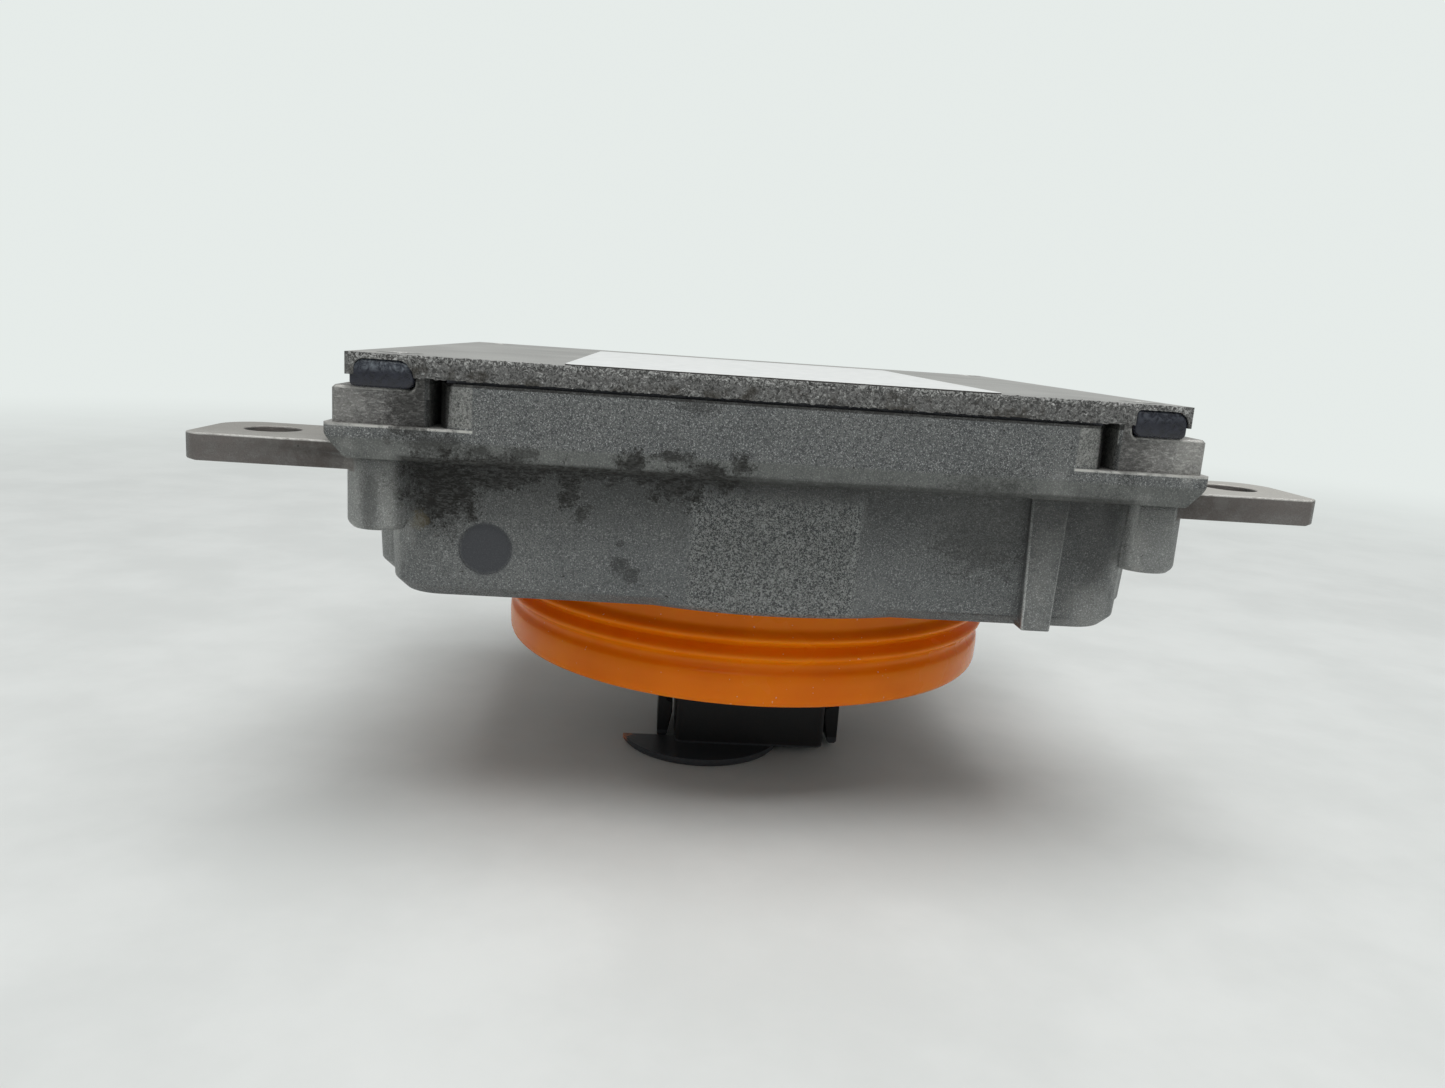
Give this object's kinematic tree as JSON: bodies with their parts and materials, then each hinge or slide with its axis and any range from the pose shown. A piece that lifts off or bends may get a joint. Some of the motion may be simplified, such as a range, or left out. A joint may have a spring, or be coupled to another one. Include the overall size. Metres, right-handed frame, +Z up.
{
  "type": "sealed headlamp driver module",
  "caption": "Sealed die-cast electronics module with screwed lid, two screw ears, round spigot with an orange radial seal, and a plug header with sprung latch arms.",
  "frame": {"origin": "on the seal's axis, at the middle of the seal's plain pilot band", "axes": "+X to the right along the lid and towards the right screw ear, +Y to the back, +Z up towards the lid; the seal and the plug leave along -Z"},
  "size_m": [0.125, 0.08, 0.0546],
  "materials": {
    "cast_aluminium": "die-cast, fine bead-blasted grey, dull",
    "lid_plate": "rolled sheet with rough sheared edges, dull",
    "black_sealant": "cured bead, satin",
    "zinc_steel": "zinc plated",
    "label_film": "smooth satin film, blank",
    "orange_silicone": "glossy moulded silicone",
    "black_plastic": "moulded, satin",
    "black_rubber": "moulded, matt",
    "tinned_contacts": "tin plated",
    "green_board": "solder-resist laminate, satin",
    "ferrite": "ground, matt",
    "enamelled_copper": "enamelled wire, glossy",
    "can_sleeve": "sleeved can",
    "film_capacitor_case": "moulded case",
    "package_black": "moulded package",
    "grey_pad": "soft, matt",
    "spring_steel": "rolled strip"
  },
  "bodies": {
    "module": {"blank_label": "label_film", "board_screws": "zinc_steel", "bulk_capacitors": "can_sleeve", "choke_core": "ferrite", "choke_winding": "enamelled_copper", "circuit_board": "green_board", "controller_chip": "package_black", "corner_seal_front_left": "black_sealant", "corner_seal_front_right": "black_sealant", "corner_seal_rear_left": "black_sealant", "corner_seal_rear_right": "black_sealant", "film_capacitor": "film_capacitor_case", "header_gasket": "black_rubber", "header_pins": "tinned_contacts", "header_screws": "zinc_steel", "header_shell": "black_plastic", "housing": "cast_aluminium", "insulator_pad": "grey_pad", "lid": "lid_plate", "lid_screws": "zinc_steel", "lid_sealant": "black_sealant", "power_transistors": "package_black", "seal_ring": "orange_silicone", "thermal_pad": "grey_pad", "transformer_bobbin": "black_plastic", "transformer_cores": "ferrite", "transformer_winding": "enamelled_copper", "transistor_clip": "spring_steel"},
    "left_latch": {"latch_arm_left": "black_plastic"},
    "right_latch": {"latch_arm_right": "black_plastic"}
  },
  "joints": [
    {"name": "latch_left", "type": "hinge", "parent": "module", "child": "left_latch", "pos_m": [-0.011, 0, -0.005], "axis": [0, 1, 0], "range_deg": [0, 6], "stiffness_Nm_per_rad": 0.05},
    {"name": "latch_right", "type": "hinge", "parent": "module", "child": "right_latch", "pos_m": [0.014, 0, -0.005], "axis": [0, -1, 0], "range_deg": [0, 6], "stiffness_Nm_per_rad": 0.05}
  ]
}
